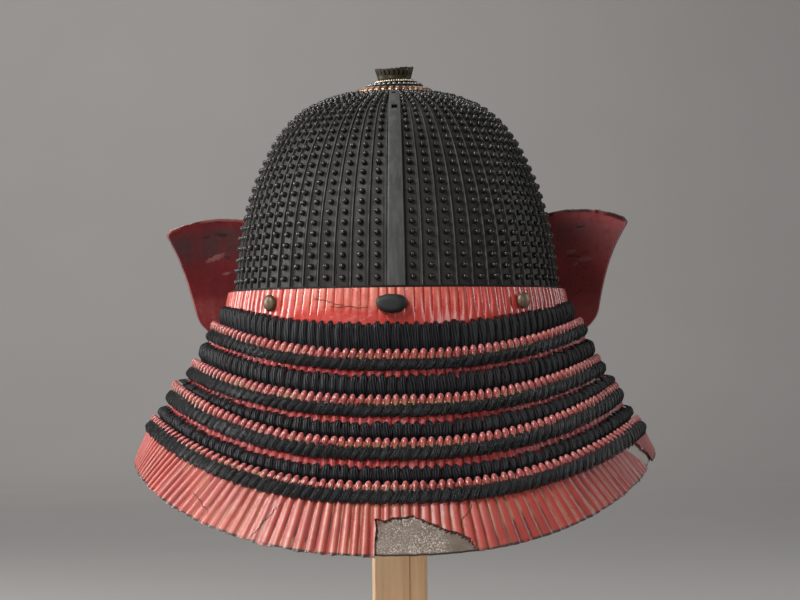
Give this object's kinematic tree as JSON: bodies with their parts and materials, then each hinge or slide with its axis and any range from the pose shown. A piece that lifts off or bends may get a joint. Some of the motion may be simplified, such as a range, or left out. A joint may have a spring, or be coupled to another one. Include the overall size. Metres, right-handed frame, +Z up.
{
  "type": "kabuto samurai helmet on a wooden stand",
  "caption": "Ridged iron samurai helmet with a studded bowl, crown fitting, visor, ear flaps and a laced red lacquer neck guard, held up by a plain wooden stand.",
  "frame": {"origin": "centre of the underside of the stand's base, under the bowl's axis", "axes": "+Z up, +Y the way the wearer faces, +X to the wearer's right"},
  "size_m": [0.351, 0.3698, 0.4209],
  "materials": {
    "bowl_iron": "dark russet-black iron, satin, worn on the ridges",
    "plate_iron": "smooth grey-black iron, satin",
    "crown_copper": "copper with a pink-brown patina",
    "crown_brass": "dark brown patinated brass",
    "red_lacquer": "glossy vermilion lacquer, worn, cracked and chipped",
    "silk": "blue-black braided silk, slightly frayed",
    "rivet_brass": "dull bronze, polished on top",
    "black_lacquer": "black lacquer, satin",
    "wood": "pale planed wood, satin"
  },
  "bodies": {
    "root": {"bowl": "bowl_iron", "centre_plate_back": "plate_iron", "centre_plate_front": "plate_iron", "waist_band": "bowl_iron", "crown_rosette": "crown_copper", "crown_rope_ring": "crown_brass", "crown_bead_ring": "crown_brass", "crown_cup": "crown_brass", "lame_1": "red_lacquer", "lame_2": "red_lacquer", "lame_3": "red_lacquer", "lame_4": "red_lacquer", "lame_5": "red_lacquer", "lacing_1": "silk", "lacing_2": "silk", "lacing_3": "silk", "lacing_4": "silk", "braid_1": "silk", "braid_2": "silk", "braid_3": "silk", "braid_4": "silk", "rivet_left": "rivet_brass", "rivet_right": "rivet_brass", "back_knob": "black_lacquer", "visor": "bowl_iron", "visor_rivet_1": "bowl_iron", "visor_rivet_2": "bowl_iron", "visor_rivet_3": "bowl_iron", "stand_base": "wood", "stand_post": "wood", "stand_pad": "wood"}
  },
  "joints": []
}
